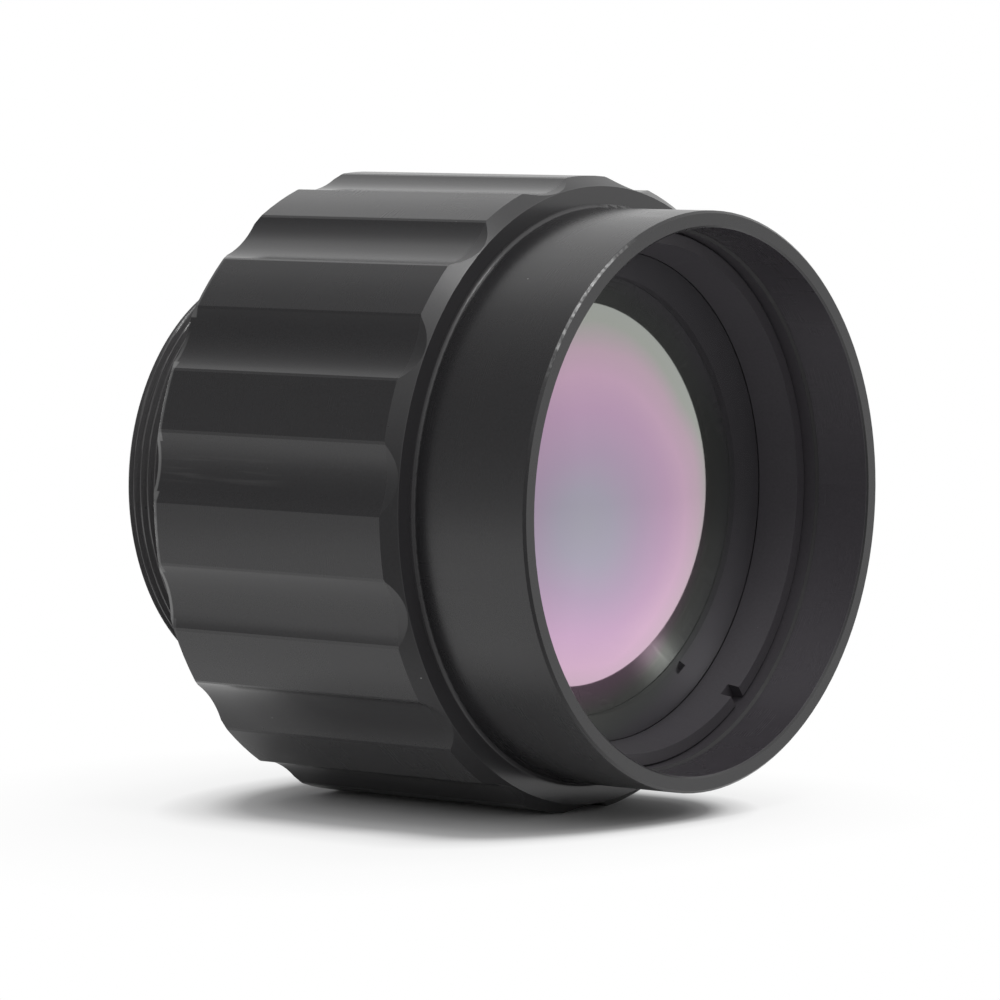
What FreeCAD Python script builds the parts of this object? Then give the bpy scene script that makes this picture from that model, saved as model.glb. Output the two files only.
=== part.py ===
"""Fixed-focus lens for a thermal imaging camera.

A turned barrel with a fluted grip and a plain hood carries a deep-set germanium
front element. A sleeve with the mounting thread is screwed in behind it.

Frame: millimetres, optical axis along X with the hood towards +X, +Z up. The
origin is on the optical axis, in the flange seat at the back of the grip.
"""
import FreeCAD, Part
import math
import os
import re

import Sketcher

doc = FreeCAD.newDocument("ThermalLens")
V = FreeCAD.Vector

# Driving sizes: name, value in mm or as said, and what it is.
SIZES = [
    # Grip
    ("grip_step", 2.5, "how far the lands of the grip stand over the hood"),
    ("grip_length", 24.4, "flange seat to the front face of the grip"),
    ("grip_front_depth", 0.8, "front chamfer of the lands, radially"),
    ("grip_front_length", 1.2, "front chamfer of the lands, along the axis"),
    ("grip_rear_chamfer", 0.35, "chamfer at the back of the grip"),
    ("flute_count", 15, "number of flutes round the grip"),
    ("flute_depth", 0.75, "depth of a flute below the lands"),
    ("flute_cutter_r", 6.5, "radius of the cutter that mills a flute"),
    ("easing_depth", 0.39, "depth of the wide pass that eases the edges of a flute"),
    ("easing_cutter_r", 18.24, "radius of the cutter of that pass"),
    # Hood
    ("hood_length", 10.8, "hood tube in front of the grip"),
    ("hood_wall", 1.3, "wall of the hood tube"),
    ("hood_corner_r", 0.3, "corner radius between grip face and hood"),
    ("rim_outer_break", 0.2, "chamfer on the outer edge of the rim"),
    ("rim_inner_break", 0.15, "chamfer on the inner edge of the rim"),
    # Front element and its ring
    ("front_seat_setback", 1.3, "front face of the grip to the shoulder under the front element"),
    ("front_lens_r", 20.0, "radius of the front element"),
    ("front_lens_edge", 2.36, "edge thickness of the front element"),
    ("front_lens_convex", 41.5, "radius of curvature of its front surface"),
    ("front_lens_concave", 60.0, "radius of curvature of its rear surface"),
    ("front_pocket_depth", 1.7, "depth of the close pocket round the front element"),
    ("front_seal_space", 1.0, "radial space for the seal round the front element"),
    ("front_thread_reach", 6.0, "front face of the grip to the mouth of the front ring's thread"),
    ("front_thread_step", 0.2, "how far the hood's bore clears that thread"),
    ("front_ring_length", 3.25, "front ring along the axis"),
    ("front_ring_lip", 0.8, "how far the front ring reaches over the front element"),
    ("front_ring_taper", 0.7, "how far its bore widens towards the hood"),
    ("front_seal_length", 0.84, "front seal along the axis"),
    # Inside of the barrel
    ("cavity_step", 0.9, "how far the bore between the elements clears the middle element"),
    ("web_overlap", 1.3, "how far the web that carries the middle element covers the spigot"),
    ("web_thickness", 2.0, "thickness of that web"),
    ("middle_lens_edge", 2.4, "edge thickness of the middle element"),
    ("middle_lens_convex", 70.0, "radius of curvature of its front surface"),
    ("middle_lens_concave", 150.0, "radius of curvature of its rear surface"),
    ("middle_ring_length", 2.2, "ring of the middle element along the axis"),
    ("middle_ring_lip", 1.1, "how far that ring reaches over the middle element"),
    ("stop_thickness", 0.3, "thickness of the aperture stop"),
    ("stop_lip", 0.6, "how far the aperture stop reaches in past that ring"),
    ("baffle_teeth", 6, "number of anti-glare teeth"),
    ("baffle_wall", 0.65, "wall of the baffle tube at the roots of the teeth"),
    ("baffle_tooth_depth", 0.7, "depth of one anti-glare tooth"),
    ("baffle_end_gap", 0.3, "baffle tube to the front element's shoulder"),
    # Mount sleeve
    ("mount_r", 17.0, "radius of the mounting thread"),
    ("mount_length", 10.2, "mounting thread behind the flange seat"),
    ("mount_chamfer", 0.5, "lead-in chamfer of the mounting thread"),
    ("mount_wall", 2.9, "wall of the sleeve under the mounting thread"),
    ("collar_step", 0.6, "how far the collar in front of the thread stands over it"),
    ("collar_thickness", 0.8, "thickness of that collar, let in flush with the flange seat"),
    ("spigot_step", 1.2, "how far the spigot inside the barrel is smaller than the thread"),
    ("spigot_length", 7.7, "length of that spigot"),
    ("spigot_wall", 2.2, "wall of that spigot"),
    ("sleeve_web", 1.2, "thickness of the web in front of the rear element"),
    ("rear_seat_width", 1.2, "how far that web reaches over the rear element"),
    ("rear_seat_depth", 9.2, "rear end of the sleeve to the rear element's seat"),
    ("shim_thickness", 0.3, "shim that sets the back focus"),
    # Rear element and its ring
    ("rear_lens_edge", 2.4, "edge thickness of the rear element"),
    ("rear_lens_convex", 45.0, "radius of curvature of its front surface"),
    ("rear_lens_concave", 60.0, "radius of curvature of its rear surface"),
    ("rear_seal_length", 0.8, "rear seal along the axis"),
    ("rear_seal_width", 0.8, "rear seal across the rim of the rear element"),
    ("rear_ring_length", 2.7, "rear ring along the axis"),
    ("rear_ring_lip", 1.4, "how far the rear ring reaches over the rear element"),
    # Shared
    ("lens_land", 2.0, "flat ring left round the rear surface of an element"),
    ("fit_gap", 0.05, "radial play of a screwed or slid-in piece"),
    ("lens_gap", 0.1, "radial play of an element in its pocket"),
    ("seal_gap", 0.05, "play left beside a seal or a curved lens face"),
    ("small_break", 0.12, "chamfer on the rings' visible edges"),
    ("slot_width", 1.2, "width of a spanner slot"),
    ("slot_depth", 1.0, "depth of a spanner slot"),
    ("front_slot_angle", 36.0, "turn of the front ring's slots from upright, degrees"),
    ("rear_slot_angle", 20.0, "turn of the rear ring's slots from upright, degrees"),
]

sheet = doc.addObject("Spreadsheet::Sheet", "sizes")
for row, (alias, value, meaning) in enumerate(SIZES, start=1):
    sheet.set(f"A{row}", alias)
    sheet.set(f"B{row}", str(value))
    sheet.set(f"C{row}", meaning)
    sheet.setAlias(f"B{row}", alias)
doc.recompute()

ALIASES = {alias for alias, value, meaning in SIZES}


def rise(curvature, inner_r, outer_r):
    """Text: how far a convex face stands up at one radius over another."""
    return f"sqrt({curvature}^2 - ({inner_r})^2) - sqrt({curvature}^2 - ({outer_r})^2)"


# Places and radii that follow from the driving sizes, as text for expressions.
SPIGOT_R = "mount_r - spigot_step"
SOCKET_R = f"{SPIGOT_R} + fit_gap"
COLLAR_R = "mount_r + collar_step"
WEB_BORE_R = f"{SPIGOT_R} - web_overlap"
MIDDLE_LENS_R = f"{WEB_BORE_R} + lens_land"
CAVITY_R = f"{MIDDLE_LENS_R} + cavity_step"
MIDDLE_RING_BORE_R = f"{MIDDLE_LENS_R} - middle_ring_lip"
REAR_BORE_R = "mount_r - mount_wall"
REAR_LENS_R = f"{REAR_BORE_R} - lens_gap"
SLEEVE_WEB_BORE_R = f"{REAR_LENS_R} - rear_seat_width"
FRONT_THREAD_R = "front_lens_r + front_seal_space"
HOOD_BORE_R = f"{FRONT_THREAD_R} + front_thread_step"
HOOD_R = f"{HOOD_BORE_R} + hood_wall"
GRIP_R = f"{HOOD_R} + grip_step"
FRONT_RING_REAR_R = "front_lens_r - front_ring_lip"
SOCKET_DEPTH = "spigot_length + shim_thickness"
WEB_FRONT = f"{SOCKET_DEPTH} + web_thickness"
MIDDLE_POCKET_END = f"{WEB_FRONT} + middle_lens_edge - lens_gap"
FRONT_SEAT = "grip_length - front_seat_setback"
FRONT_POCKET_END = f"{FRONT_SEAT} + front_pocket_depth"
FRONT_THREAD_END = "grip_length + front_thread_reach"
FRONT_RISE = rise("front_lens_convex", FRONT_RING_REAR_R, "front_lens_r")
FRONT_RING_START = f"{FRONT_SEAT} + front_lens_edge + {FRONT_RISE} + seal_gap"
BARREL_LENGTH = "grip_length + hood_length"
MIDDLE_RISE = rise("middle_lens_convex", MIDDLE_RING_BORE_R, MIDDLE_LENS_R)
MIDDLE_RING_START = f"{WEB_FRONT} + middle_lens_edge + {MIDDLE_RISE} + seal_gap"
STOP_START = f"{MIDDLE_RING_START} + middle_ring_length"
BAFFLE_START = f"{STOP_START} + stop_thickness"
BAFFLE_LENGTH = f"{FRONT_SEAT} - ({BAFFLE_START}) - baffle_end_gap"
REAR_RISE = rise("rear_lens_convex", SLEEVE_WEB_BORE_R, REAR_LENS_R)
REAR_LENS_START = f"rear_seat_depth - mount_length - rear_lens_edge - ({REAR_RISE}) - seal_gap"
REAR_SEAL_START = f"{REAR_LENS_START} - seal_gap - rear_seal_length"
REAR_RING_START = f"{REAR_SEAL_START} - seal_gap - rear_ring_length"


def bound(text):
    """Write an expression over the sheet's cells from one over their names."""
    return re.sub(r"[a-z_]+", lambda word: _cell(word.group()), text)


def _cell(word):
    return f"sizes.{word}" if word in ALIASES else word


def value_of(text):
    """Number that an expression over the sheet's names has now."""
    return float(sheet.evalExpression(bound(text)))


def new_body(name, along="0", turn="0"):
    """Body with its own place along the optical axis and turn about it."""
    body = doc.addObject("PartDesign::Body", name)
    body.Label = name
    place = FreeCAD.Placement(V(value_of(along), 0, 0), FreeCAD.Rotation(V(1, 0, 0), value_of(turn)))
    body.Placement = place
    if along != "0":
        body.setExpression("Placement.Base.x", bound(along))
    if turn != "0":
        body.setExpression("Placement.Rotation.Angle", bound(turn))
    return body


def origin_plane(body, role):
    for feature in body.Origin.OriginFeatures:
        if feature.Role == role:
            return feature
    raise ValueError(f"no origin feature {role}")


def new_sketch(body, name, role):
    sketch = body.newObject("Sketcher::SketchObject", name)
    sketch.AttachmentSupport = [(origin_plane(body, role), "")]
    sketch.MapMode = "FlatFace"
    return sketch


def bind_constraint(sketch, kind, *refs, to):
    """Add a dimension to a sketch and tie it to the sheet."""
    number = sketch.addConstraint(Sketcher.Constraint(kind, *refs, value_of(to)))
    sketch.setExpression(f"Constraints[{number}]", bound(to))


def place_point(sketch, edge, end, along, radius):
    """Fix a sketch point by its distance along the axis and its radius."""
    if along == "0":
        sketch.addConstraint(Sketcher.Constraint("PointOnObject", edge, end, -2))
    else:
        bind_constraint(sketch, "DistanceX", -1, 1, edge, end, to=along)
    if radius == "0":
        sketch.addConstraint(Sketcher.Constraint("PointOnObject", edge, end, -1))
    else:
        bind_constraint(sketch, "DistanceY", -1, 1, edge, end, to=radius)


def revolve(body, sketch):
    turned = body.newObject("PartDesign::Revolution", f"{body.Name}_turned")
    turned.Profile = sketch
    turned.ReferenceAxis = (sketch, ["H_Axis"])
    turned.Angle = 360
    doc.recompute()
    return turned


def turned_body(name, profile, along="0", turn="0"):
    """Body turned from a closed profile of (along, radius) corners."""
    body = new_body(name, along, turn)
    sketch = new_sketch(body, f"{name}_profile", "XY_Plane")
    corners = [V(value_of(x), value_of(r), 0) for x, r in profile]
    count = len(corners)
    for i in range(count):
        sketch.addGeometry(Part.LineSegment(corners[i], corners[(i + 1) % count]), False)
    for i in range(count):
        sketch.addConstraint(Sketcher.Constraint("Coincident", i, 2, (i + 1) % count, 1))
    for i, (x, r) in enumerate(profile):
        place_point(sketch, i, 1, x, r)
    return body, revolve(body, sketch)


def plain_ring(name, length, inner_r, outer_r, along):
    """Flat-ended ring or washer."""
    profile = [("0", inner_r), (length, inner_r), (length, outer_r), ("0", outer_r)]
    return turned_body(name, profile, along)[0]


def spherical_arc(sketch, centre_x, radius, height):
    """Arc from the axis out to a height, with its centre on the axis."""
    circle = Part.Circle(V(centre_x, 0, 0), V(0, 0, 1), radius)
    return sketch.addGeometry(Part.ArcOfCircle(circle, 0, math.asin(height / radius)), False)


def lens(name, edge_r, edge, convex, concave, along):
    """Meniscus with a convex front, a concave rear and a flat seating land."""
    body = new_body(name, along)
    sketch = new_sketch(body, f"{name}_profile", "XY_Plane")
    clear_r = f"{edge_r} - lens_land"
    outer = value_of(edge_r)
    clear = value_of(clear_r)
    thick = value_of(edge)
    front_centre = thick - math.sqrt(value_of(convex) ** 2 - outer ** 2)
    rear_centre = -math.sqrt(value_of(concave) ** 2 - clear ** 2)
    front_pole = V(front_centre + value_of(convex), 0, 0)
    rear_pole = V(rear_centre + value_of(concave), 0, 0)
    land = sketch.addGeometry(Part.LineSegment(V(0, clear, 0), V(0, outer, 0)), False)
    rim = sketch.addGeometry(Part.LineSegment(V(0, outer, 0), V(thick, outer, 0)), False)
    front = spherical_arc(sketch, front_centre, value_of(convex), outer)
    axis = sketch.addGeometry(Part.LineSegment(front_pole, rear_pole), False)
    rear = spherical_arc(sketch, rear_centre, value_of(concave), clear)
    joins = [(land, 2, rim, 1), (rim, 2, front, 2), (front, 1, axis, 1), (axis, 2, rear, 1), (rear, 2, land, 1)]
    for join in joins:
        sketch.addConstraint(Sketcher.Constraint("Coincident", *join))
    place_point(sketch, land, 1, "0", clear_r)
    place_point(sketch, rim, 1, "0", edge_r)
    place_point(sketch, rim, 2, edge, edge_r)
    for point in ((axis, 1), (axis, 2), (front, 3), (rear, 3)):
        sketch.addConstraint(Sketcher.Constraint("PointOnObject", *point, -1))
    bind_constraint(sketch, "Radius", front, to=convex)
    bind_constraint(sketch, "Radius", rear, to=concave)
    revolve(body, sketch)
    return body


def seal(name, length, inner_r, outer_r, along):
    """Moulded rubber seal, its corners broken by a quarter of its length."""
    corner = f"({length}) / 4"
    profile = [
        ("0", f"{inner_r} + {corner}"),
        (corner, inner_r),
        (f"{length} - {corner}", inner_r),
        (length, f"{inner_r} + {corner}"),
        (length, f"{outer_r} - {corner}"),
        (f"{length} - {corner}", outer_r),
        (corner, outer_r),
        ("0", f"{outer_r} - {corner}"),
    ]
    return turned_body(name, profile, along)[0]


def cut_slots(body, start, reach):
    """Mill one straight spanner slot across both sides of a ring."""
    sketch = new_sketch(body, f"{body.Name}_slot", "YZ_Plane")
    sketch.AttachmentOffset = FreeCAD.Placement(V(0, 0, value_of(start)), FreeCAD.Rotation())
    if start != "0":
        sketch.setExpression("AttachmentOffset.Base.z", bound(start))
    half_width = value_of("slot_width") / 2
    half_reach = value_of(reach)
    corners = [
        V(-half_width, -half_reach, 0),
        V(half_width, -half_reach, 0),
        V(half_width, half_reach, 0),
        V(-half_width, half_reach, 0),
    ]
    for i in range(4):
        sketch.addGeometry(Part.LineSegment(corners[i], corners[(i + 1) % 4]), False)
    for i in range(4):
        sketch.addConstraint(Sketcher.Constraint("Coincident", i, 2, (i + 1) % 4, 1))
    for i, direction in enumerate(("Horizontal", "Vertical", "Horizontal", "Vertical")):
        sketch.addConstraint(Sketcher.Constraint(direction, i))
    sketch.addConstraint(Sketcher.Constraint("Symmetric", 0, 1, 2, 1, -1, 1))
    bind_constraint(sketch, "DistanceX", 0, 1, 0, 2, to="slot_width")
    bind_constraint(sketch, "DistanceY", 1, 1, 1, 2, to=f"2 * ({reach})")
    slot = body.newObject("PartDesign::Pocket", f"{body.Name}_slots")
    slot.Profile = sketch
    slot.Type = "Length"
    slot.Length = value_of("slot_depth")
    slot.setExpression("Length", bound("slot_depth"))
    slot.Reversed = True
    doc.recompute()
    return slot


def circle_edge(shape, radius, along):
    """Name of the full circle with this radius at this place on the axis."""
    for number, edge in enumerate(shape.Edges, start=1):
        curve = edge.Curve
        if not isinstance(curve, Part.Circle):
            continue
        if abs(curve.Radius - radius) < 1e-4 and abs(curve.Center.x - along) < 1e-4:
            return f"Edge{number}"
    raise ValueError(f"no circle of radius {radius} at {along}")


def fillet_hood_corner(body, turned):
    """Leave the turning tool's small radius where the hood leaves the grip."""
    corner = circle_edge(turned.Shape, value_of(HOOD_R), value_of("grip_length"))
    fillet = body.newObject("PartDesign::Fillet", "hood_corner")
    fillet.Base = (turned, [corner])
    fillet.Radius = value_of("hood_corner_r")
    fillet.setExpression("Radius", bound("hood_corner_r"))
    doc.recompute()


def mill_groove(body, name, depth, cutter_r):
    """Mill one groove along the lowest line of the grip."""
    sketch = new_sketch(body, f"{name}_section", "YZ_Plane")
    centre_r = f"{GRIP_R} - {depth} + {cutter_r}"
    cutter = Part.Circle(V(0, -value_of(centre_r), 0), V(0, 0, 1), value_of(cutter_r))
    circle = sketch.addGeometry(cutter, False)
    sketch.addConstraint(Sketcher.Constraint("PointOnObject", circle, 3, -2))
    bind_constraint(sketch, "Distance", -1, 1, circle, 3, to=centre_r)
    bind_constraint(sketch, "Radius", circle, to=cutter_r)
    groove = body.newObject("PartDesign::Pocket", name)
    groove.Profile = sketch
    groove.Type = "Length"
    groove.Length = value_of("grip_length")
    groove.setExpression("Length", bound("grip_length"))
    groove.Reversed = True
    doc.recompute()
    return groove


def cut_flutes(body):
    """Mill a flute and the wide pass that eases its edges, and repeat both round the axis."""
    flute = mill_groove(body, "flute", "flute_depth", "flute_cutter_r")
    easing = mill_groove(body, "flute_easing", "easing_depth", "easing_cutter_r")
    ring = body.newObject("PartDesign::PolarPattern", "flutes")
    ring.Originals = [flute, easing]
    ring.Axis = (flute.Profile[0], ["N_Axis"])
    ring.Angle = 360
    ring.Occurrences = int(value_of("flute_count"))
    ring.setExpression("Occurrences", bound("flute_count"))
    body.Tip = ring
    doc.recompute()


def make_barrel():
    """Grip, hood, web and inner seats, turned from one bar and then fluted."""
    lens_pocket_r = "front_lens_r + lens_gap"
    middle_pocket_r = f"{MIDDLE_LENS_R} + lens_gap"
    recess_r = f"{COLLAR_R} + fit_gap"
    profile = [
        ("0", recess_r),
        ("collar_thickness", recess_r),
        ("collar_thickness", SOCKET_R),
        (SOCKET_DEPTH, SOCKET_R),
        (SOCKET_DEPTH, WEB_BORE_R),
        (WEB_FRONT, WEB_BORE_R),
        (WEB_FRONT, middle_pocket_r),
        (MIDDLE_POCKET_END, middle_pocket_r),
        (MIDDLE_POCKET_END, CAVITY_R),
        (FRONT_SEAT, CAVITY_R),
        (FRONT_SEAT, lens_pocket_r),
        (FRONT_POCKET_END, lens_pocket_r),
        (FRONT_POCKET_END, FRONT_THREAD_R),
        (f"{FRONT_THREAD_END} - front_thread_step", FRONT_THREAD_R),
        (FRONT_THREAD_END, HOOD_BORE_R),
        (f"{BARREL_LENGTH} - rim_inner_break", HOOD_BORE_R),
        (BARREL_LENGTH, f"{HOOD_BORE_R} + rim_inner_break"),
        (BARREL_LENGTH, f"{HOOD_R} - rim_outer_break"),
        (f"{BARREL_LENGTH} - rim_outer_break", HOOD_R),
        ("grip_length", HOOD_R),
        ("grip_length", f"{GRIP_R} - grip_front_depth"),
        ("grip_length - grip_front_length", GRIP_R),
        ("grip_rear_chamfer", GRIP_R),
        ("0", f"{GRIP_R} - grip_rear_chamfer"),
    ]
    body, turned = turned_body("barrel", profile)
    fillet_hood_corner(body, turned)
    cut_flutes(body)
    return body


def make_mount_sleeve():
    """Sleeve with the mounting thread outside and the rear element inside."""
    web_front = "rear_seat_depth + sleeve_web"
    front = "mount_length + spigot_length"
    sleeve_bore_r = f"{SPIGOT_R} - spigot_wall"
    profile = [
        ("0", f"{REAR_BORE_R} + small_break"),
        ("small_break", REAR_BORE_R),
        ("rear_seat_depth", REAR_BORE_R),
        ("rear_seat_depth", SLEEVE_WEB_BORE_R),
        (web_front, SLEEVE_WEB_BORE_R),
        (web_front, sleeve_bore_r),
        (front, sleeve_bore_r),
        (front, SPIGOT_R),
        ("mount_length + collar_thickness", SPIGOT_R),
        ("mount_length + collar_thickness", COLLAR_R),
        ("mount_length", COLLAR_R),
        ("mount_length", "mount_r"),
        ("mount_chamfer", "mount_r"),
        ("0", "mount_r - mount_chamfer"),
    ]
    return turned_body("mount_sleeve", profile, "-mount_length")[0]


def make_front_ring():
    """Retaining ring with a tapered mouth and two spanner slots."""
    outer_r = f"{FRONT_THREAD_R} - fit_gap"
    profile = [
        ("0", FRONT_RING_REAR_R),
        ("front_ring_length", f"{FRONT_RING_REAR_R} + front_ring_taper"),
        ("front_ring_length", f"{outer_r} - small_break"),
        ("front_ring_length - small_break", outer_r),
        ("0", outer_r),
    ]
    body = turned_body("front_ring", profile, FRONT_RING_START, "front_slot_angle")[0]
    cut_slots(body, "front_ring_length - slot_depth", outer_r)
    return body


def make_rear_ring():
    """Retaining ring of the rear element, with its slots at the back."""
    outer_r = f"{REAR_BORE_R} - fit_gap"
    bore_r = f"{REAR_LENS_R} - rear_ring_lip"
    profile = [
        ("0", f"{bore_r} + small_break"),
        ("small_break", bore_r),
        ("rear_ring_length", bore_r),
        ("rear_ring_length", outer_r),
        ("small_break", outer_r),
        ("0", f"{outer_r} - small_break"),
    ]
    body = turned_body("rear_ring", profile, REAR_RING_START, "rear_slot_angle")[0]
    cut_slots(body, "0", outer_r)
    return body


def make_light_baffle():
    """Anti-glare tube, its bore cut into saw teeth."""
    outer_r = f"{CAVITY_R} - fit_gap"
    root_r = f"{outer_r} - baffle_wall"
    crest_r = f"{root_r} - baffle_tooth_depth"
    pitch = f"({BAFFLE_LENGTH}) / baffle_teeth"
    teeth = int(value_of("baffle_teeth"))
    profile = [
        ("0", outer_r),
        (BAFFLE_LENGTH, outer_r),
        (BAFFLE_LENGTH, crest_r),
    ]
    for tooth in range(teeth - 1, 0, -1):
        profile.append((f"{tooth} * {pitch}", root_r))
        profile.append((f"{tooth} * {pitch}", crest_r))
    profile.append(("0", root_r))
    return turned_body("light_baffle", profile, BAFFLE_START)[0]


def make_front_group():
    """Front element with its seal, in front of the barrel's shoulder."""
    element = lens("front_lens", "front_lens_r", "front_lens_edge", "front_lens_convex",
                   "front_lens_concave", FRONT_SEAT)
    rubber = seal("front_seal", "front_seal_length", "front_lens_r + seal_gap",
                  f"{FRONT_THREAD_R} - seal_gap", f"{FRONT_POCKET_END} + seal_gap")
    return [element, rubber]


def make_middle_group():
    """Middle element on the barrel's web, with all that is screwed in on top of it."""
    inside_r = f"{CAVITY_R} - fit_gap"
    element = lens("middle_lens", MIDDLE_LENS_R, "middle_lens_edge", "middle_lens_convex",
                   "middle_lens_concave", WEB_FRONT)
    ring = plain_ring("middle_ring", "middle_ring_length", MIDDLE_RING_BORE_R, inside_r,
                      MIDDLE_RING_START)
    stop = plain_ring("aperture_stop", "stop_thickness", f"{MIDDLE_RING_BORE_R} - stop_lip", inside_r,
                      STOP_START)
    return [element, ring, stop, make_light_baffle()]


def make_rear_group():
    """Shim in front of the sleeve, and the rear element that sits in it."""
    shim = plain_ring("focus_shim", "shim_thickness", WEB_BORE_R, f"{SPIGOT_R} - fit_gap", "spigot_length")
    element = lens("rear_lens", REAR_LENS_R, "rear_lens_edge", "rear_lens_convex",
                   "rear_lens_concave", REAR_LENS_START)
    rubber = seal("rear_seal", "rear_seal_length", f"{REAR_LENS_R} - rear_seal_width - lens_gap",
                  f"{REAR_LENS_R} - lens_gap", REAR_SEAL_START)
    return [shim, element, rubber, make_rear_ring()]


def make_parts():
    """All separate pieces, from the hood to the rear end."""
    front = [make_barrel(), make_front_ring()] + make_front_group()
    return front + make_middle_group() + [make_mount_sleeve()] + make_rear_group()


def check(parts):
    """Stop before anything is written if a feature failed."""
    for item in doc.Objects:
        if "Invalid" in item.State or "Error" in item.State:
            raise RuntimeError(f"{item.Name} failed: {item.State}")
    for part in parts:
        if part.Shape.isNull() or not part.Shape.isValid():
            raise RuntimeError(f"{part.Label} has no valid shape")


parts = make_parts()
doc.recompute()
check(parts)
os.makedirs("parts", exist_ok=True)
for part in parts:
    part.Shape.exportStep(f"parts/{part.Label}.step")
    box = part.Shape.BoundBox
    print(part.Label, "volume", round(part.Shape.Volume, 1), "x", round(box.XMin, 2), round(box.XMax, 2))
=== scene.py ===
"""Looks of a fixed-focus thermal imaging lens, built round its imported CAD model.

Scene units are metres: optical axis along X with the hood towards +X, +Z up, flange seat
at x = 0. Lengths in the constants and in the helpers' arguments are in mm.
"""
import math

import bmesh
import bpy
import numpy as np
from mathutils import Matrix, Vector


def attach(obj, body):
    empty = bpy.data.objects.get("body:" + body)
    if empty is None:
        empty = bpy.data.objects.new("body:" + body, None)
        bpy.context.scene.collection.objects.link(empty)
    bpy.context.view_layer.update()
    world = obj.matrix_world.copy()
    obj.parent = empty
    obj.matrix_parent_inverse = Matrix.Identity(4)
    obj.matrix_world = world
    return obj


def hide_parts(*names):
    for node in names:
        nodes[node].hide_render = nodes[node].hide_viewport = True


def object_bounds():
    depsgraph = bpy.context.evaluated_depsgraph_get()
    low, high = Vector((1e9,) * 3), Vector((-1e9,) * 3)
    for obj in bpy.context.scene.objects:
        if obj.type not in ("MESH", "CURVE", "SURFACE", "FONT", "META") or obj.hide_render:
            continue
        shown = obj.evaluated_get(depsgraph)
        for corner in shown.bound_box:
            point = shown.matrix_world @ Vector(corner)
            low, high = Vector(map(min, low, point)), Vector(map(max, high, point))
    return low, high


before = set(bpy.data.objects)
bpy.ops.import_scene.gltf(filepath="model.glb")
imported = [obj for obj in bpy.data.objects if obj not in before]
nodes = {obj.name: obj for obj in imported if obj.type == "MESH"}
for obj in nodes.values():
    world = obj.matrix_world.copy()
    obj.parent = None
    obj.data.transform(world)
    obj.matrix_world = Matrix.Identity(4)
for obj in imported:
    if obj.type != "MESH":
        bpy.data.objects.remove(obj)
cad_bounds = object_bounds()

MM = 0.001
TURN = 2 * math.pi

# Sizes in mm, as in the part's source.
GRIP_R = 25.0
GRIP_LENGTH = 24.4
HOOD_R = 22.5
HOOD_BORE_R = 21.2
THREAD_MOUTH = 30.2
THREAD_CONE_LENGTH = 0.2
BARREL_LENGTH = 35.2
MOUNT_R = 17.0
MOUNT_BACK = -10.2
MOUNT_CHAMFER = 0.5
SPIGOT_R = 15.8
SPIGOT_FRONT = 7.7
SPIGOT_BORE_R = 13.6
COLLAR_R = 17.6
COLLAR_THICKNESS = 0.8
REAR_BORE_R = 14.1
REAR_SEAT = -1.0
SLEEVE_WEB_FRONT = 0.2
SLEEVE_WEB_BORE_R = 12.8
FRONT_LENS = {"back": 23.1, "edge": 2.36, "radius": 20.0, "land": 18.0, "convex": 41.5, "concave": 60.0}
REAR_LENS = {"back": -3.82, "edge": 2.4, "radius": 14.0, "land": 12.0, "convex": 45.0, "concave": 60.0}

# Threads, in mm: depths are those of the cut flanks, the fade is at both ends.
PITCH = 0.75
MOUNT_THREAD_DEPTH = 0.42
REAR_THREAD_DEPTH = 0.35
THREAD_FADE = 0.3
ROWS_PER_TURN = 14


# Node helpers

def new_material(name):
    """Empty node material with its Principled shader."""
    material = bpy.data.materials.new(name)
    material.use_nodes = True
    tree = material.node_tree
    tree.nodes.clear()
    output = tree.nodes.new("ShaderNodeOutputMaterial")
    shader = tree.nodes.new("ShaderNodeBsdfPrincipled")
    tree.links.new(shader.outputs["BSDF"], output.inputs["Surface"])
    return material, tree, shader


def add(tree, kind, inputs=None, **settings):
    """Node with its settings and inputs; an input may be a value or a socket."""
    node = tree.nodes.new(kind)
    for name, value in settings.items():
        setattr(node, name, value)
    for name, value in (inputs or {}).items():
        if isinstance(value, bpy.types.NodeSocket):
            tree.links.new(value, node.inputs[name])
        else:
            node.inputs[name].default_value = value
    return node


def calc(tree, operation, *values):
    """Output of one Math node."""
    return add(tree, "ShaderNodeMath", dict(enumerate(values)), operation=operation).outputs[0]


def product(tree, first, *others):
    """Product of two or more values, for masks above all."""
    for other in others:
        first = calc(tree, "MULTIPLY", first, other)
    return first


def above(tree, value, limit):
    """1 where the value is greater than the limit, else 0."""
    return calc(tree, "GREATER_THAN", value, limit)


def below(tree, value, limit):
    """1 where the value is less than the limit, else 0."""
    return calc(tree, "LESS_THAN", value, limit)


def length(tree, *axes):
    """Root of the sum of squares."""
    total = 0.0
    for axis in axes:
        total = calc(tree, "MULTIPLY_ADD", axis, axis, total)
    return calc(tree, "SQRT", total)


def ramp(tree, value, low, high, to_low=0.0, to_high=1.0):
    """Value mapped from one range onto another, clamped."""
    inputs = {"Value": value, "From Min": low, "From Max": high, "To Min": to_low, "To Max": to_high}
    return add(tree, "ShaderNodeMapRange", inputs).outputs["Result"]


def between(tree, value, low, high, soft):
    """1 between two limits, falling to 0 over the soft distance outside them."""
    return product(tree, ramp(tree, value, low - soft, low), ramp(tree, value, high, high + soft, 1.0, 0.0))


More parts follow.
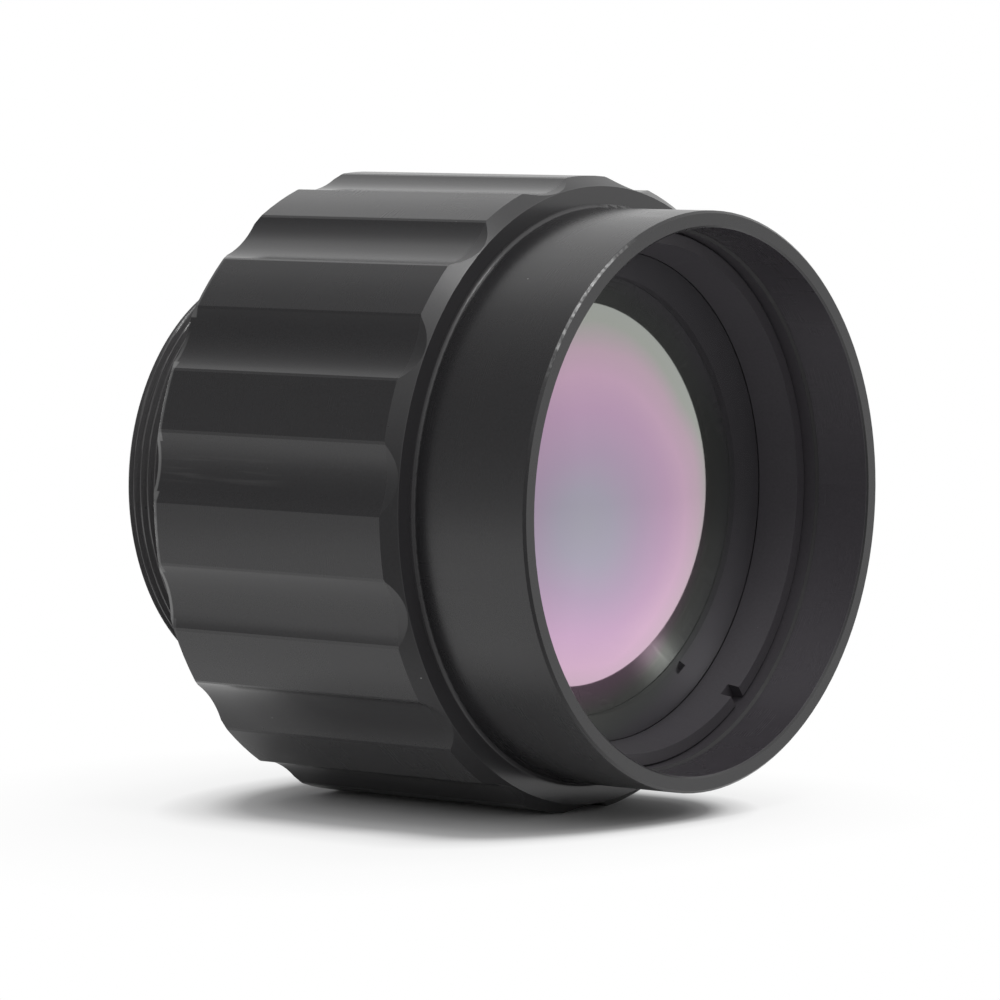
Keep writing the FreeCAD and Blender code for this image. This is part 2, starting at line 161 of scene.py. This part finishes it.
def blend_colours(tree, factor, first, second):
    """Colour between two, which may each be a colour or a socket."""
    node = tree.nodes.new("ShaderNodeMix")
    node.data_type = "RGBA"
    for socket, value in ((node.inputs[0], factor), (node.inputs[6], first), (node.inputs[7], second)):
        if isinstance(value, bpy.types.NodeSocket):
            tree.links.new(value, socket)
        elif socket.type == "RGBA":
            socket.default_value = (*value, 1.0)
        else:
            socket.default_value = value
    return node.outputs[2]


def colour_steps(tree, value, steps):
    """Colour read from a row of (position, colour) steps."""
    node = add(tree, "ShaderNodeValToRGB", {"Fac": value})
    elements = node.color_ramp.elements
    while len(elements) < len(steps):
        elements.new(0.5)
    for element, (position, colour) in zip(elements, steps):
        element.position = position
        element.color = (*colour, 1.0)
    return node.outputs[0]


def level_steps(tree, value, steps):
    """Grey level read from a row of (position, level) steps."""
    return colour_steps(tree, value, [(position, (level,) * 3) for position, level in steps])


def own_place(tree):
    """Socket for a point's place in the part's own coordinates, in metres."""
    return add(tree, "ShaderNodeTexCoord").outputs["Object"]


def axes_mm(tree):
    """Sockets for x, y and z of a point, in mm."""
    axes = add(tree, "ShaderNodeSeparateXYZ", {0: own_place(tree)}).outputs
    return [calc(tree, "DIVIDE", axis, MM) for axis in axes]


def cylinder_place(tree):
    """Sockets for x, radius and turn (0 up, a quarter towards -Y) of a point, in mm and turns."""
    x, y, z = axes_mm(tree)
    angle = calc(tree, "ARCTAN2", calc(tree, "MULTIPLY", y, -1.0), z)
    return x, length(tree, y, z), calc(tree, "DIVIDE", angle, TURN)


def noise(tree, scale, detail, stretch=(1.0, 1.0, 1.0), offset=(0.0, 0.0, 0.0)):
    """Noise with a scale per mm, stretched along the axes."""
    scales = [factor * scale / MM for factor in stretch]
    mapping = add(tree, "ShaderNodeMapping", {"Vector": own_place(tree), "Location": offset, "Scale": scales})
    texture = add(tree, "ShaderNodeTexNoise", {"Vector": mapping.outputs[0], "Scale": 1.0, "Detail": detail})
    return texture.outputs["Fac"]


def centred(tree, value, gain, middle=0.5):
    """Noise value swung about a middle with a gain."""
    return calc(tree, "MULTIPLY_ADD", calc(tree, "SUBTRACT", value, 0.5), gain, middle)


def specks(tree, spacing, size, share, offset=(0.0, 0.0, 0.0)):
    """Sparse round specks: spacing and size in mm, share of the cells that hold one."""
    mapping = add(tree, "ShaderNodeMapping",
                  {"Vector": own_place(tree), "Location": offset, "Scale": [1 / (spacing * MM)] * 3})
    cells = add(tree, "ShaderNodeTexVoronoi", {"Vector": mapping.outputs[0], "Scale": 1.0})
    near = ramp(tree, cells.outputs["Distance"], 0.6 * size / spacing, size / spacing, 1.0, 0.0)
    pick = add(tree, "ShaderNodeSeparateColor", {0: cells.outputs["Color"]}).outputs[0]
    return product(tree, near, below(tree, pick, share))


def add_bump(tree, shader, height, strength, distance):
    """Link a height to the shader's normal; the distance is in mm."""
    bump = add(tree, "ShaderNodeBump", {"Height": height, "Strength": strength, "Distance": distance * MM})
    tree.links.new(bump.outputs[0], shader.inputs["Normal"])


# Black anodised pieces

BLACK = (0.0205, 0.0198, 0.0214)
BLACK_SWING = (0.72, 1.28)
# Painted light: the hood's bore gets a lighter black than the outside, to brighten the shaded bore.
BORE_PAINTED_LIGHT_BLACKS = ((0.044, 0.040, 0.046), (0.064, 0.059, 0.067))
# Painted sheen: the mounting thread and what it surrounds get a lighter black, standing in for the light its
# flanks and crests reflect.
THREAD_PAINTED_SHEEN_BLACKS = ((0.062, 0.060, 0.062), (0.094, 0.092, 0.094))
# Painted shade: the mouth of the front ring's thread is darker than the plain black, for the shade in that
# recess.
CONE_PAINTED_SHADE_BLACK = (0.010, 0.010, 0.010)
# Painted light: the step between grip and hood gets a lighter black.
STEP_PAINTED_LIGHT_BLACK = (0.052, 0.050, 0.053)
# Painted highlight: a lighter black in a streak along one flute's edge.
STREAK_PAINTED_SHEEN_BLACK = (0.060, 0.059, 0.060)
# Wear on the rim's corner and the grip's rear edge, which is also a painted highlight there.
WORN_AND_HIGHLIGHT_GREY = (0.30, 0.30, 0.30)
DUST = (0.42, 0.42, 0.42)

# Roughness of the plain satin face, and what each region or pattern adds to it.
SATIN = 0.27
ROUGHER = {"smear": -0.04, "flute": -0.085, "edge_sheen": -0.05, "chamfer": 0.14, "ring": 0.2, "cone": 0.35}


def black_regions(tree, x, radius, turn):
    """Masks of the places where the black looks different, several of them used for painted light or shade.

    outer: outside faces; inside: the hood's bore, of which ring is the part behind the mouth
    of the front ring's thread, and cone that mouth; chamfer: the grip's front chamfer; step:
    the face between grip and hood; thread: the mounting thread and what it surrounds; and a
    painted highlight, a lighter, glossier streak along one flute's edge; smear: streaks left by handling.
    """
    flute = product(tree, between(tree, radius, HOOD_R + 0.4, GRIP_R - 0.02, 0.01),
                    below(tree, x, GRIP_LENGTH + 0.01))
    inside = product(tree, below(tree, radius, HOOD_BORE_R + 0.02), above(tree, x, GRIP_LENGTH))
    streaks = ramp(tree, noise(tree, 3.0, 3.0, (0.04, 1.0, 1.0)), 0.46, 0.60)
    cone_end = THREAD_MOUTH + THREAD_CONE_LENGTH
    return {
        "outer": above(tree, radius, HOOD_R - 0.3),
        "flute": flute,
        "inside": inside,
        "ring": product(tree, inside, below(tree, x, THREAD_MOUTH)),
        "cone": product(tree, between(tree, x, THREAD_MOUTH - 0.01, cone_end + 0.01, 0.01), inside),
        "chamfer": product(tree, between(tree, x, GRIP_LENGTH - 1.2, GRIP_LENGTH - 0.01, 0.01),
                           above(tree, radius, GRIP_R - 0.8), below(tree, radius, GRIP_R - 0.01)),
        "step": product(tree, between(tree, x, GRIP_LENGTH - 0.02, GRIP_LENGTH + 0.3, 0.05),
                        above(tree, radius, HOOD_R + 0.02)),
        "thread": product(tree, below(tree, radius, MOUNT_R + 0.05), below(tree, x, -0.1)),
        "edge_sheen": product(tree, between(tree, turn, 0.2295, 0.2385, 0.003),
                          between(tree, x, 3.0, 10.0, 4.0), streaks),
        "smear": ramp(tree, noise(tree, 0.9, 3.0, (0.12, 1.0, 1.0), (0.3, 0.1, 0.7)), 0.60, 0.72),
    }


def worn_and_highlit_edges(tree, x, radius, turn, flute):
    """Mask of the rim's corner and the grip's rear edge, which have lost some of their black and carry a
    painted highlight in the turns where they catch the light.
    """
    # Painted highlight as well as wear: the rim's band is where its chamfer catches the top softbox.
    rim = product(tree, between(tree, x, BARREL_LENGTH - 0.16, BARREL_LENGTH, 0.03),
                  between(tree, radius, HOOD_R - 0.17, HOOD_R, 0.03),
                  between(tree, turn, 0.085, 0.155, 0.02),
                  ramp(tree, noise(tree, 2.4, 5.0), 0.36, 0.60, 0.15, 1.0))
    # Painted highlight as well as wear on the grip's rear edge and the flute ends beside it.
    rear_edge = product(tree, between(tree, x, -0.01, 0.50, 0.12),
                        between(tree, radius, GRIP_R - 0.36, GRIP_R, 0.02),
                        between(tree, turn, 0.15, 0.27, 0.06),
                        ramp(tree, noise(tree, 1.1, 4.0), 0.35, 0.60, 0.40, 0.62))
    flute_end = product(tree, flute, between(tree, x, -0.01, 0.22, 0.12),
                        between(tree, turn, 0.19, 0.32, 0.03), 0.6)
    return calc(tree, "MAXIMUM", rim, calc(tree, "MAXIMUM", rear_edge, flute_end))


def black_anodise():
    """Satin black anodised aluminium: turning marks, milling smears, worn edges with painted highlights, dust,
    and painted light and shade in the bore, on the step, on the thread and along one flute.
    """
    material, tree, shader = new_material("black_anodise_satin")
    x, radius, turn = cylinder_place(tree)
    region = black_regions(tree, x, radius, turn)
    wear_and_highlight = worn_and_highlit_edges(tree, x, radius, turn, region["flute"])
    turning = noise(tree, 9.0, 4.0, (1.0, 0.012, 0.012))
    milling = noise(tree, 5.0, 4.0, (0.015, 1.0, 1.0))
    lines = blend_colours(tree, region["flute"], turning, milling)
    fine = noise(tree, 5.0, 2.0)
    dust = product(tree, specks(tree, 2.6, 0.075, 0.22), region["outer"], 0.55)
    lint = product(tree, specks(tree, 1.3, 0.045, 0.10, (0.4, 0.2, 0.9)), 0.35)
    grime = calc(tree, "MAXIMUM", dust, lint)

    rough = centred(tree, noise(tree, 0.16, 3.0), 0.08, SATIN)
    rough = centred(tree, lines, 0.03, rough)
    for name, amount in ROUGHER.items():
        rough = calc(tree, "MULTIPLY_ADD", region[name], amount, rough)
    tree.links.new(rough, shader.inputs["Roughness"])

    tint = centred(tree, fine, 0.9)
    base = blend_colours(tree, tint, *(tuple(swing * c for c in BLACK) for swing in BLACK_SWING))
    # Painted light and shade go into the base here: lighter blacks in the bore, on the step and on the thread,
    # a darker one at the thread's mouth, and a painted highlight along one flute's edge and on the worn edges.
    for mask, colour in (
            (region["inside"], blend_colours(tree, tint, *BORE_PAINTED_LIGHT_BLACKS)),
            (product(tree, region["cone"], 0.8), CONE_PAINTED_SHADE_BLACK),
            (product(tree, region["step"], 0.5), STEP_PAINTED_LIGHT_BLACK),
            (region["thread"], blend_colours(tree, tint, *THREAD_PAINTED_SHEEN_BLACKS)),
            (product(tree, region["edge_sheen"], 0.5), STREAK_PAINTED_SHEEN_BLACK),
            (wear_and_highlight, WORN_AND_HIGHLIGHT_GREY),
            (grime, DUST)):
        base = blend_colours(tree, mask, base, colour)
    tree.links.new(base, shader.inputs["Base Color"])
    tree.links.new(product(tree, wear_and_highlight, 0.7), shader.inputs["Metallic"])
    shader.inputs["Specular IOR Level"].default_value = 0.56

    height = calc(tree, "ADD", product(tree, lines, 0.07), product(tree, fine, 0.8))
    add_bump(tree, shader, calc(tree, "MULTIPLY_ADD", grime, 1.5, height), 0.14, 0.02)
    return material


def matt_black():
    """Dull black of the parts that must not shine."""
    material, tree, shader = new_material("matt_black_anodise")
    grain = noise(tree, 10.0, 3.0)
    base = blend_colours(tree, grain, (0.008, 0.008, 0.008), (0.016, 0.016, 0.017))
    tree.links.new(base, shader.inputs["Base Color"])
    tree.links.new(ramp(tree, noise(tree, 0.3, 2.0), 0.3, 0.7, 0.60, 0.75), shader.inputs["Roughness"])
    shader.inputs["Specular IOR Level"].default_value = 0.3
    add_bump(tree, shader, grain, 0.3, 0.02)
    return material


# Elements

# Colours of the front element's coating by distance from its thickest place, and that place.
COATING_CENTRE = (-8.0, -1.5)
COATING_REACH = 20.0
COATING_STEPS = (
    (0.00, (0.47, 0.46, 0.535)),
    (0.15, (0.48, 0.45, 0.55)),
    (0.30, (0.535, 0.41, 0.56)),
    (0.45, (0.61, 0.41, 0.585)),
    (0.57, (0.68, 0.455, 0.61)),
    (0.67, (0.62, 0.455, 0.55)),
    (0.77, (0.44, 0.46, 0.42)),
    (0.90, (0.43, 0.455, 0.43)),
    (1.00, (0.46, 0.45, 0.475)),
)
INNER_STEPS = (
    (0.00, (0.20, 0.19, 0.27)),
    (0.45, (0.25, 0.20, 0.29)),
    (0.75, (0.27, 0.24, 0.24)),
    (1.00, (0.22, 0.27, 0.21)),
)


def polish_element(tree, shader, base, metallic, roughness):
    """Give a polished, coated face its colour, mirror and slight waviness."""
    tree.links.new(base, shader.inputs["Base Color"])
    shader.inputs["Metallic"].default_value = metallic
    tree.links.new(ramp(tree, noise(tree, 1.5, 4.0), 0.3, 0.7, *roughness), shader.inputs["Roughness"])
    add_bump(tree, shader, noise(tree, 0.5, 2.0), 0.01, 0.01)


def coated_germanium():
    """Polished germanium under an uneven antireflection coating, opaque to the eye, with painted shade in its
    upper half and near one edge.
    """
    material, tree, shader = new_material("coated_front_element")
    _, y, z = axes_mm(tree)
    far = length(tree, *(calc(tree, "SUBTRACT", axis, centre) for axis, centre in zip((y, z), COATING_CENTRE)))
    thickness = centred(tree, noise(tree, 0.09, 2.0), 3.0, far)
    rings = colour_steps(tree, ramp(tree, thickness, 0.0, COATING_REACH), COATING_STEPS)
    # Painted shade: the coating's colour is darker in the upper half, for the dimmer room it mirrors there,
    # and a little near the edge towards -Y, for the hood's shade.
    depth = product(tree, ramp(tree, z, -10.0, 0.0, 1.0, 0.74), ramp(tree, y, -13.0, -8.5, 0.91, 1.0))
    base = blend_colours(tree, depth, (0.0, 0.0, 0.0), rings)
    polish_element(tree, shader, base, 0.94, (0.03, 0.05))
    return material


def inner_germanium():
    """Inner elements, with the violet to grey-green coating such elements carry."""
    material, tree, shader = new_material("coated_inner_element")
    radius = cylinder_place(tree)[1]
    drift = centred(tree, noise(tree, 0.12, 2.0), 4.0, radius)
    base = colour_steps(tree, ramp(tree, drift, 0.0, REAR_LENS["radius"]), INNER_STEPS)
    polish_element(tree, shader, base, 0.97, (0.11, 0.14))
    return material


# Small pieces

def rubber():
    """Matt moulded rubber."""
    material, tree, shader = new_material("seal_rubber_matt")
    grain = noise(tree, 6.0, 3.0)
    base = blend_colours(tree, grain, (0.014, 0.014, 0.014), (0.030, 0.030, 0.030))
    tree.links.new(base, shader.inputs["Base Color"])
    tree.links.new(ramp(tree, grain, 0.3, 0.7, 0.62, 0.78), shader.inputs["Roughness"])
    add_bump(tree, shader, grain, 0.3, 0.02)
    return material


def rolled_steel():
    """Rolled shim stock."""
    material, tree, shader = new_material("shim_steel_rolled")
    grain = noise(tree, 6.0, 4.0, (1.0, 0.05, 1.0))
    base = blend_colours(tree, grain, (0.46, 0.46, 0.47), (0.60, 0.60, 0.61))
    tree.links.new(base, shader.inputs["Base Color"])
    shader.inputs["Metallic"].default_value = 1.0
    tree.links.new(ramp(tree, grain, 0.3, 0.7, 0.25, 0.40), shader.inputs["Roughness"])
    return material


# Meshes

def new_piece(name, points, faces):
    """Object with faces turned outwards, from points in mm."""
    mesh = bpy.data.meshes.new(name)
    mesh.from_pydata([tuple(MM * float(c) for c in point) for point in points], [], faces)
    work = bmesh.new()
    work.from_mesh(mesh)
    bmesh.ops.recalc_face_normals(work, faces=work.faces)
    work.to_mesh(mesh)
    work.free()
    piece = bpy.data.objects.new(name, mesh)
    bpy.context.scene.collection.objects.link(piece)
    return piece


def closed_lathe(name, rows, columns):
    """Ring-shaped mesh from rows of (x, r); each may be a number or vary round the turn."""
    turns = np.arange(columns) / columns * TURN
    points = []
    for x, r in rows:
        x = np.broadcast_to(x, columns)
        r = np.broadcast_to(r, columns)
        points.append(np.stack([x, -r * np.sin(turns), r * np.cos(turns)], -1))
    faces = []
    for i in range(len(rows)):
        here, there = i * columns, (i + 1) % len(rows) * columns
        for j in range(columns):
            k = (j + 1) % columns
            faces.append((here + j, here + k, there + k, there + j))
    return new_piece(name, np.concatenate(points), faces)


def solid_lathe(name, profile, columns):
    """Closed solid turned from (x, r) corners that run from the axis back to the axis."""
    turns = np.arange(columns) / columns * TURN
    points = [(profile[0][0], 0.0, 0.0)]
    for x, r in profile[1:-1]:
        points += [(x, -r * math.sin(t), r * math.cos(t)) for t in turns]
    points.append((profile[-1][0], 0.0, 0.0))
    last = len(points) - 1
    end = last - columns
    faces = []
    for j in range(columns):
        k = (j + 1) % columns
        faces.append((0, 1 + k, 1 + j))
        for here in range(1, end, columns):
            there = here + columns
            faces.append((here + j, here + k, there + k, there + j))
        faces.append((end + j, end + k, last))
    return new_piece(name, points, faces)


def shade_smooth(piece, degrees=28.0):
    """Smooth shading with sharp edges left where faces meet at more than this angle."""
    for polygon in piece.data.polygons:
        polygon.use_smooth = True
    piece.data.set_sharp_from_angle(angle=math.radians(degrees))


def thread_rows(start, end, crest_r, depth, columns):
    """Rows of a helical 60 degree thread; depth is negative where the root lies outside."""
    turn = np.arange(columns) / columns
    count = int(round(abs(end - start) / PITCH * ROWS_PER_TURN))
    rows = []
    for x in np.linspace(start, end, count + 1):
        phase = (x / PITCH - turn) % 1.0
        wave = np.abs(phase - 0.5) * 2
        cut = np.clip((wave - 0.125) / 0.625, 0.0, 1.0)
        fade = min(1.0, abs(x - start) / THREAD_FADE, abs(x - end) / THREAD_FADE)
        rows.append((x, crest_r - depth * cut * fade))
    return rows


def threaded_sleeve():
    """Mount sleeve with its real M34 x 0.75 thread, and the ring's thread in its bore."""
    columns = 192
    relief_r = MOUNT_R - 0.45
    outside = [(MOUNT_BACK, MOUNT_R - MOUNT_CHAMFER)]
    outside += thread_rows(MOUNT_BACK + MOUNT_CHAMFER, -1.35, MOUNT_R, MOUNT_THREAD_DEPTH, columns)
    outside += [(-1.2, relief_r), (0.0, relief_r), (0.0, COLLAR_R), (COLLAR_THICKNESS, COLLAR_R)]
    front = [(COLLAR_THICKNESS, SPIGOT_R), (SPIGOT_FRONT, SPIGOT_R), (SPIGOT_FRONT, SPIGOT_BORE_R)]
    inside = [(SLEEVE_WEB_FRONT, SPIGOT_BORE_R), (SLEEVE_WEB_FRONT, SLEEVE_WEB_BORE_R),
              (REAR_SEAT, SLEEVE_WEB_BORE_R), (REAR_SEAT, REAR_BORE_R)]
    bore = thread_rows(-4.0, MOUNT_BACK + 0.5, REAR_BORE_R, -REAR_THREAD_DEPTH, columns)
    mouth = [(MOUNT_BACK + 0.2, REAR_BORE_R), (MOUNT_BACK, REAR_BORE_R + 0.2)]
    piece = closed_lathe("mount_sleeve_threaded", outside + front + inside + bore + mouth, columns)
    shade_smooth(piece)
    return piece


def lens_element(name, lens, bevel, front_rows, rear_rows, columns):
    """Lens with finely divided polished faces: convex in front, concave in a flat land behind."""
    back, radius = lens["back"], lens["radius"]
    corner = back + lens["edge"]

    def face(x, r_there, curve, radii):
        """Rows of a spherical face that passes through (x, r_there)."""
        centre = x - math.sqrt(curve ** 2 - r_there ** 2)
        return [(centre + math.sqrt(curve ** 2 - r * r), r) for r in radii]

    front = face(corner, radius, lens["convex"], np.linspace(0.0, radius - bevel, front_rows))
    rear = face(back, lens["land"], lens["concave"], np.linspace(lens["land"], 0.0, rear_rows))
    rim = [(back, radius)]
    if bevel:
        rim = [(corner - bevel, radius), (back + bevel, radius), (back, radius - bevel)]
    piece = solid_lathe(name, front + rim + rear, columns)
    shade_smooth(piece)
    return piece


# Stage, light and camera

# The room is darker towards these two directions, as the photograph's reflections show:
# steps of (nearness, level) for the first, and for the second the nearness where it begins
# and is complete, with the level there.
OPEN_SIDE = (-0.629, -0.596, 0.500)
OPEN_SIDE_STEPS = ((0.70, 1.0), (0.79, 0.70), (0.86, 0.50), (1.0, 0.28))
VIEW_SIDE = (0.70, -0.71, 0.08)
VIEW_SIDE_FALL = (0.58, 0.86)
VIEW_SIDE_LEVEL = 0.30

# Level of the surroundings as light on the part.
FILL = 0.42

# The floor under the part keeps its shadow. Outside, it turns white to the eye with the
# distance from the contact, counted more in some directions; steps of (distance in mm, share).
# Where it is mirrored it also keeps a shade near the part; ranges of distance and level.
FLOOR_HALF_METRES = 6.0
CONTACT_X = (8.0, 24.0)
BEHIND, BEFORE, FAR_SIDE = 1.6, 2.2, 2.0
LIT_STEPS = ((10, 0.0), (15, 0.01), (19, 0.10), (23, 0.54), (28, 0.85), (40, 0.93), (60, 1.0))
MIRRORED_SHADOW = ((8.0, 27.0), (0.25, 1.0))
ROOM_CENTRE = (14.0, 0.0, 0.0)

LAMP_TARGET = (12.0, 0.0, 0.0)
LAMP_DISTANCE = 800.0

# Camera fitted to the circles of the photograph: mm, and degrees for the angles.
CAMERA_TARGET = (17.996, -4.192, -0.407)
CAMERA_DISTANCE = 461.282
CAMERA_AZIMUTH, CAMERA_ELEVATION, CAMERA_ROLL = 39.0804, 4.3830, 0.0588
CAMERA_SENSOR = 36.0
CAMERA_LENS = 211.837


def seen_rays(tree):
    """1 for rays that the eye sees directly, mirrored or through glass."""
    path = add(tree, "ShaderNodeLightPath").outputs
    seen = calc(tree, "MAXIMUM", path["Is Camera Ray"], path["Is Glossy Ray"])
    return calc(tree, "MAXIMUM", seen, path["Is Transmission Ray"])


def mirrored_rays(tree):
    """1 for rays that come off a mirror."""
    return add(tree, "ShaderNodeLightPath").outputs["Is Glossy Ray"]


def nearness(tree, heading, direction):
    """Cosine between a heading and a direction."""
    node = add(tree, "ShaderNodeVectorMath", {0: heading, 1: direction}, operation="DOT_PRODUCT")
    return node.outputs["Value"]


def room_level(tree, heading):
    """Brightness of the room as the part mirrors it, by direction."""
    open_level = level_steps(tree, nearness(tree, heading, OPEN_SIDE), OPEN_SIDE_STEPS)
    view_share = ramp(tree, nearness(tree, heading, VIEW_SIDE), *VIEW_SIDE_FALL)
    return blend_colours(tree, view_share, open_level, (VIEW_SIDE_LEVEL,) * 3)


def floor_paper():
    """Pale paper that keeps the shadow and turns white away from it."""
    material = bpy.data.materials.new("floor_paper")
    material.use_nodes = True
    tree = material.node_tree
    tree.nodes.clear()
    output = tree.nodes.new("ShaderNodeOutputMaterial")
    colour = blend_colours(tree, noise(tree, 0.02, 2.0), (0.90, 0.90, 0.905), (0.92, 0.92, 0.92))
    paper = add(tree, "ShaderNodeBsdfDiffuse", {"Color": colour})

    x, y, _ = axes_mm(tree)
    behind = calc(tree, "MAXIMUM", calc(tree, "SUBTRACT", CONTACT_X[0], x), 0.0)
    before = calc(tree, "MAXIMUM", calc(tree, "SUBTRACT", x, CONTACT_X[1]), 0.0)
    beside = calc(tree, "MAXIMUM", product(tree, y, -1.0), product(tree, y, FAR_SIDE))
    gap = length(tree, product(tree, behind, BEHIND), product(tree, before, BEFORE), beside)
    reach = LIT_STEPS[-1][0]
    lit = level_steps(tree, ramp(tree, gap, 0.0, reach), [(far / reach, share) for far, share in LIT_STEPS])

    away = add(tree, "ShaderNodeVectorMath", {0: own_place(tree), 1: [MM * c for c in ROOM_CENTRE]},
               operation="SUBTRACT").outputs[0]
    heading = add(tree, "ShaderNodeVectorMath", {0: away}, operation="NORMALIZE").outputs[0]
    shade = ramp(tree, gap, *MIRRORED_SHADOW[0], *MIRRORED_SHADOW[1])
    level = product(tree, room_level(tree, heading), shade)
    strength = ramp(tree, mirrored_rays(tree), 0.0, 1.0, 1.0, level)
    white = add(tree, "ShaderNodeEmission", {"Strength": strength})
    share = product(tree, seen_rays(tree), lit)
    mixed = add(tree, "ShaderNodeMixShader", {0: share, 1: paper.outputs[0], 2: white.outputs[0]})
    tree.links.new(mixed.outputs[0], output.inputs["Surface"])
    return material


def add_floor():
    """Seamless floor just under the part."""
    low = cad_bounds[0][2]
    corners = [(-1, -1), (1, -1), (1, 1), (-1, 1)]
    mesh = bpy.data.meshes.new("floor")
    points = [(FLOOR_HALF_METRES * x, FLOOR_HALF_METRES * y, low) for x, y in corners]
    mesh.from_pydata(points, [], [(0, 1, 2, 3)])
    mesh.materials.append(floor_paper())
    floor = bpy.data.objects.new("floor", mesh)
    bpy.context.scene.collection.objects.link(floor)


def add_world():
    """White surroundings for the eye and for reflections, plain grey as light."""
    world = bpy.data.worlds.new("studio")
    bpy.context.scene.world = world
    world.use_nodes = True
    tree = world.node_tree
    tree.nodes.clear()
    output = tree.nodes.new("ShaderNodeOutputWorld")
    heading = add(tree, "ShaderNodeTexCoord").outputs["Generated"]
    white = blend_colours(tree, mirrored_rays(tree), (1.0, 1.0, 1.0), room_level(tree, heading))
    colour = blend_colours(tree, seen_rays(tree), (FILL,) * 3, white)
    background = add(tree, "ShaderNodeBackground", {"Color": colour, "Strength": 1.0})
    tree.links.new(background.outputs[0], output.inputs["Surface"])


def add_softbox(name, direction, size, power):
    """Square area lamp that looks at the part from a direction; power in watts."""
    lamp = bpy.data.lights.new(name, "AREA")
    lamp.shape = "RECTANGLE"
    lamp.size = lamp.size_y = MM * size
    lamp.energy = power
    holder = bpy.data.objects.new(name, lamp)
    bpy.context.scene.collection.objects.link(holder)
    target = Vector(LAMP_TARGET) * MM
    holder.location = target + Vector(direction).normalized() * LAMP_DISTANCE * MM
    holder.rotation_euler = (target - holder.location).to_track_quat("-Z", "Y").to_euler()


def add_camera():
    """Camera that looks at the part as the photograph does."""
    azimuth, elevation, roll = map(math.radians, (CAMERA_AZIMUTH, CAMERA_ELEVATION, CAMERA_ROLL))
    back = Vector((math.sin(azimuth) * math.cos(elevation), -math.cos(azimuth) * math.cos(elevation),
                   math.sin(elevation)))
    level = Vector((math.cos(azimuth), math.sin(azimuth), 0.0))
    upright = back.cross(level)
    right = math.cos(roll) * level + math.sin(roll) * upright
    up = math.cos(roll) * upright - math.sin(roll) * level
    data = bpy.data.cameras.new("camera")
    data.sensor_width = CAMERA_SENSOR
    data.lens = CAMERA_LENS
    camera = bpy.data.objects.new("camera", data)
    bpy.context.scene.collection.objects.link(camera)
    place = (Vector(CAMERA_TARGET) + back * CAMERA_DISTANCE) * MM
    camera.matrix_world = Matrix.Translation(place) @ Matrix((right, up, back)).transposed().to_4x4()
    bpy.context.scene.camera = camera


def dress(material, *names):
    """Give CAD nodes their finish."""
    for name in names:
        for slot in nodes[name].material_slots:
            slot.material = material


black = black_anodise()
inner = inner_germanium()
dress(black, "barrel", "front_ring", "middle_ring", "rear_ring")
dress(matt_black(), "light_baffle", "aperture_stop")
dress(inner, "front_lens", "middle_lens", "rear_lens")
dress(rubber(), "front_seal", "rear_seal")
dress(rolled_steel(), "focus_shim")

sleeve = threaded_sleeve()
sleeve.data.materials.append(black)
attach(sleeve, "root")
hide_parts("mount_sleeve")

element = lens_element("front_element", FRONT_LENS, 0.15, 64, 24, 256)
element.data.materials.append(coated_germanium())
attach(element, "root")
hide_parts("front_lens")

rear = lens_element("rear_element", REAR_LENS, 0.0, 40, 40, 192)
rear.data.materials.append(inner)
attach(rear, "root")
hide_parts("rear_lens")

add_floor()
add_world()
add_softbox("top_softbox", (0.37, -0.09, 0.93), 170.0, 1.6)
add_softbox("front_softbox", (0.41, -0.58, 0.70), 800.0, 0.9)
add_camera()

bpy.context.scene.view_settings.view_transform = "Standard"
